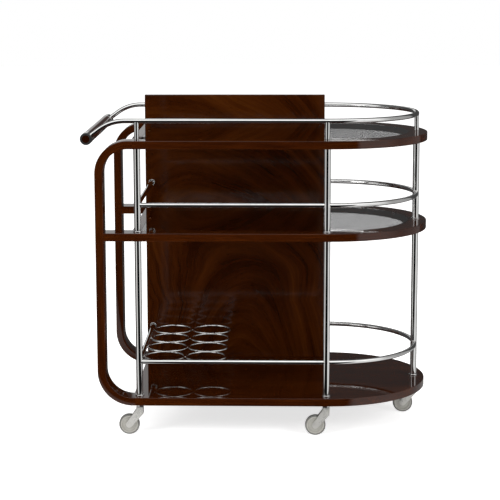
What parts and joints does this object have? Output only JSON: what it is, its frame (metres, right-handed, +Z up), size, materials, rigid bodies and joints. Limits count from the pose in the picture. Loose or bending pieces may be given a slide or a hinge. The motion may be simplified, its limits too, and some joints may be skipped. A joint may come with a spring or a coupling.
{
  "type": "bar cart",
  "caption": "Rolling bar cart with D-shaped levels, bentwood hoops, a tall veneered back panel, tube galleries, glass shelves, a bottle rack and a push handle on swivel casters.",
  "frame": {"origin": "on the floor, under the middle of the overall box", "axes": "+Z up, +X towards the round end, -Y towards the open front"},
  "size_m": [0.8684, 0.514, 0.8225],
  "materials": {
    "mahogany": "very dark red-brown mahogany under a high-gloss lacquer",
    "figured_veneer": "crotch-figured mahogany veneer, dark, semi-gloss lacquer",
    "smoked_glass": "grey smoked plate glass, polished edges",
    "chrome": "bright polished chrome plate",
    "satin_nickel": "satin nickel casting",
    "silver_disc": "silver-grey moulded disc",
    "grey_tread": "grey non-marking tread",
    "black_cap": "black gloss moulding",
    "black_screw": "blackened steel",
    "zinc_steel": "zinc-plated steel",
    "clear_pad": "clear soft bumper",
    "beech_dowel": "plain beech"
  },
  "bodies": {
    "cart": {"front_hoop": "mahogany", "back_hoop": "mahogany", "top_frame": "mahogany", "middle_frame": "mahogany", "top_cross_rail": "mahogany", "middle_cross_rail": "mahogany", "bottom_board": "mahogany", "back_panel": "figured_veneer", "glass_cleats": "mahogany", "top_glass": "smoked_glass", "middle_glass": "smoked_glass", "glass_pads": "clear_pad", "front_left_post": "chrome", "front_right_post": "chrome", "end_post": "chrome", "gallery_posts": "chrome", "post_collars": "chrome", "post_tie_rods": "zinc_steel", "top_gallery_rail": "chrome", "middle_front_rail": "chrome", "middle_end_rail_near": "chrome", "middle_end_rail_far": "chrome", "middle_side_rail": "chrome", "bottom_front_rail": "chrome", "bottom_end_rail_near": "chrome", "bottom_end_rail_far": "chrome", "bottom_side_rail": "chrome", "rail_flanges": "chrome", "rail_saddles": "chrome", "bottle_rings": "chrome", "handle_grip": "mahogany", "handle_ferrules": "chrome", "handle_end_caps": "black_cap", "handle_end_inlays": "mahogany", "handle_set_screws": "black_screw", "frame_dowels": "beech_dowel", "panel_screws": "zinc_steel", "caster_sockets": "chrome"},
    "caster_1_swivel": {"caster_1_fork": "satin_nickel", "caster_1_axle": "chrome"},
    "caster_1_roller": {"caster_1_wheel": "silver_disc", "caster_1_tyre": "grey_tread"},
    "caster_2_swivel": {"caster_2_fork": "satin_nickel", "caster_2_axle": "chrome"},
    "caster_2_roller": {"caster_2_wheel": "silver_disc", "caster_2_tyre": "grey_tread"},
    "caster_3_swivel": {"caster_3_fork": "satin_nickel", "caster_3_axle": "chrome"},
    "caster_3_roller": {"caster_3_wheel": "silver_disc", "caster_3_tyre": "grey_tread"},
    "caster_4_swivel": {"caster_4_fork": "satin_nickel", "caster_4_axle": "chrome"},
    "caster_4_roller": {"caster_4_wheel": "silver_disc", "caster_4_tyre": "grey_tread"},
    "caster_5_swivel": {"caster_5_fork": "satin_nickel", "caster_5_axle": "chrome"},
    "caster_5_roller": {"caster_5_wheel": "silver_disc", "caster_5_tyre": "grey_tread"}
  },
  "joints": [
    {"name": "caster_1_swivel_turn", "type": "hinge", "parent": "cart", "child": "caster_1_swivel", "pos_m": [-0.29675, -0.2295, 0.076], "axis": [0, 0, 1], "continuous": true},
    {"name": "caster_1_wheel_roll", "type": "hinge", "parent": "caster_1_swivel", "child": "caster_1_roller", "pos_m": [-0.32375, -0.2295, 0.026], "axis": [0, 1, 0], "continuous": true},
    {"name": "caster_2_swivel_turn", "type": "hinge", "parent": "cart", "child": "caster_2_swivel", "pos_m": [0.17325, -0.2295, 0.076], "axis": [0, 0, 1], "continuous": true},
    {"name": "caster_2_wheel_roll", "type": "hinge", "parent": "caster_2_swivel", "child": "caster_2_roller", "pos_m": [0.14625, -0.2295, 0.026], "axis": [0, 1, 0], "continuous": true},
    {"name": "caster_3_swivel_turn", "type": "hinge", "parent": "cart", "child": "caster_3_swivel", "pos_m": [0.40675, 0, 0.076], "axis": [0, 0, 1], "continuous": true},
    {"name": "caster_3_wheel_roll", "type": "hinge", "parent": "caster_3_swivel", "child": "caster_3_roller", "pos_m": [0.37975, 0, 0.026], "axis": [0, 1, 0], "continuous": true},
    {"name": "caster_4_swivel_turn", "type": "hinge", "parent": "cart", "child": "caster_4_swivel", "pos_m": [-0.26675, 0.21, 0.076], "axis": [0, 0, 1], "continuous": true},
    {"name": "caster_4_wheel_roll", "type": "hinge", "parent": "caster_4_swivel", "child": "caster_4_roller", "pos_m": [-0.29375, 0.21, 0.026], "axis": [0, 1, 0], "continuous": true},
    {"name": "caster_5_swivel_turn", "type": "hinge", "parent": "cart", "child": "caster_5_swivel", "pos_m": [0.14325, 0.21, 0.076], "axis": [0, 0, 1], "continuous": true},
    {"name": "caster_5_wheel_roll", "type": "hinge", "parent": "caster_5_swivel", "child": "caster_5_roller", "pos_m": [0.11625, 0.21, 0.026], "axis": [0, 1, 0], "continuous": true}
  ]
}
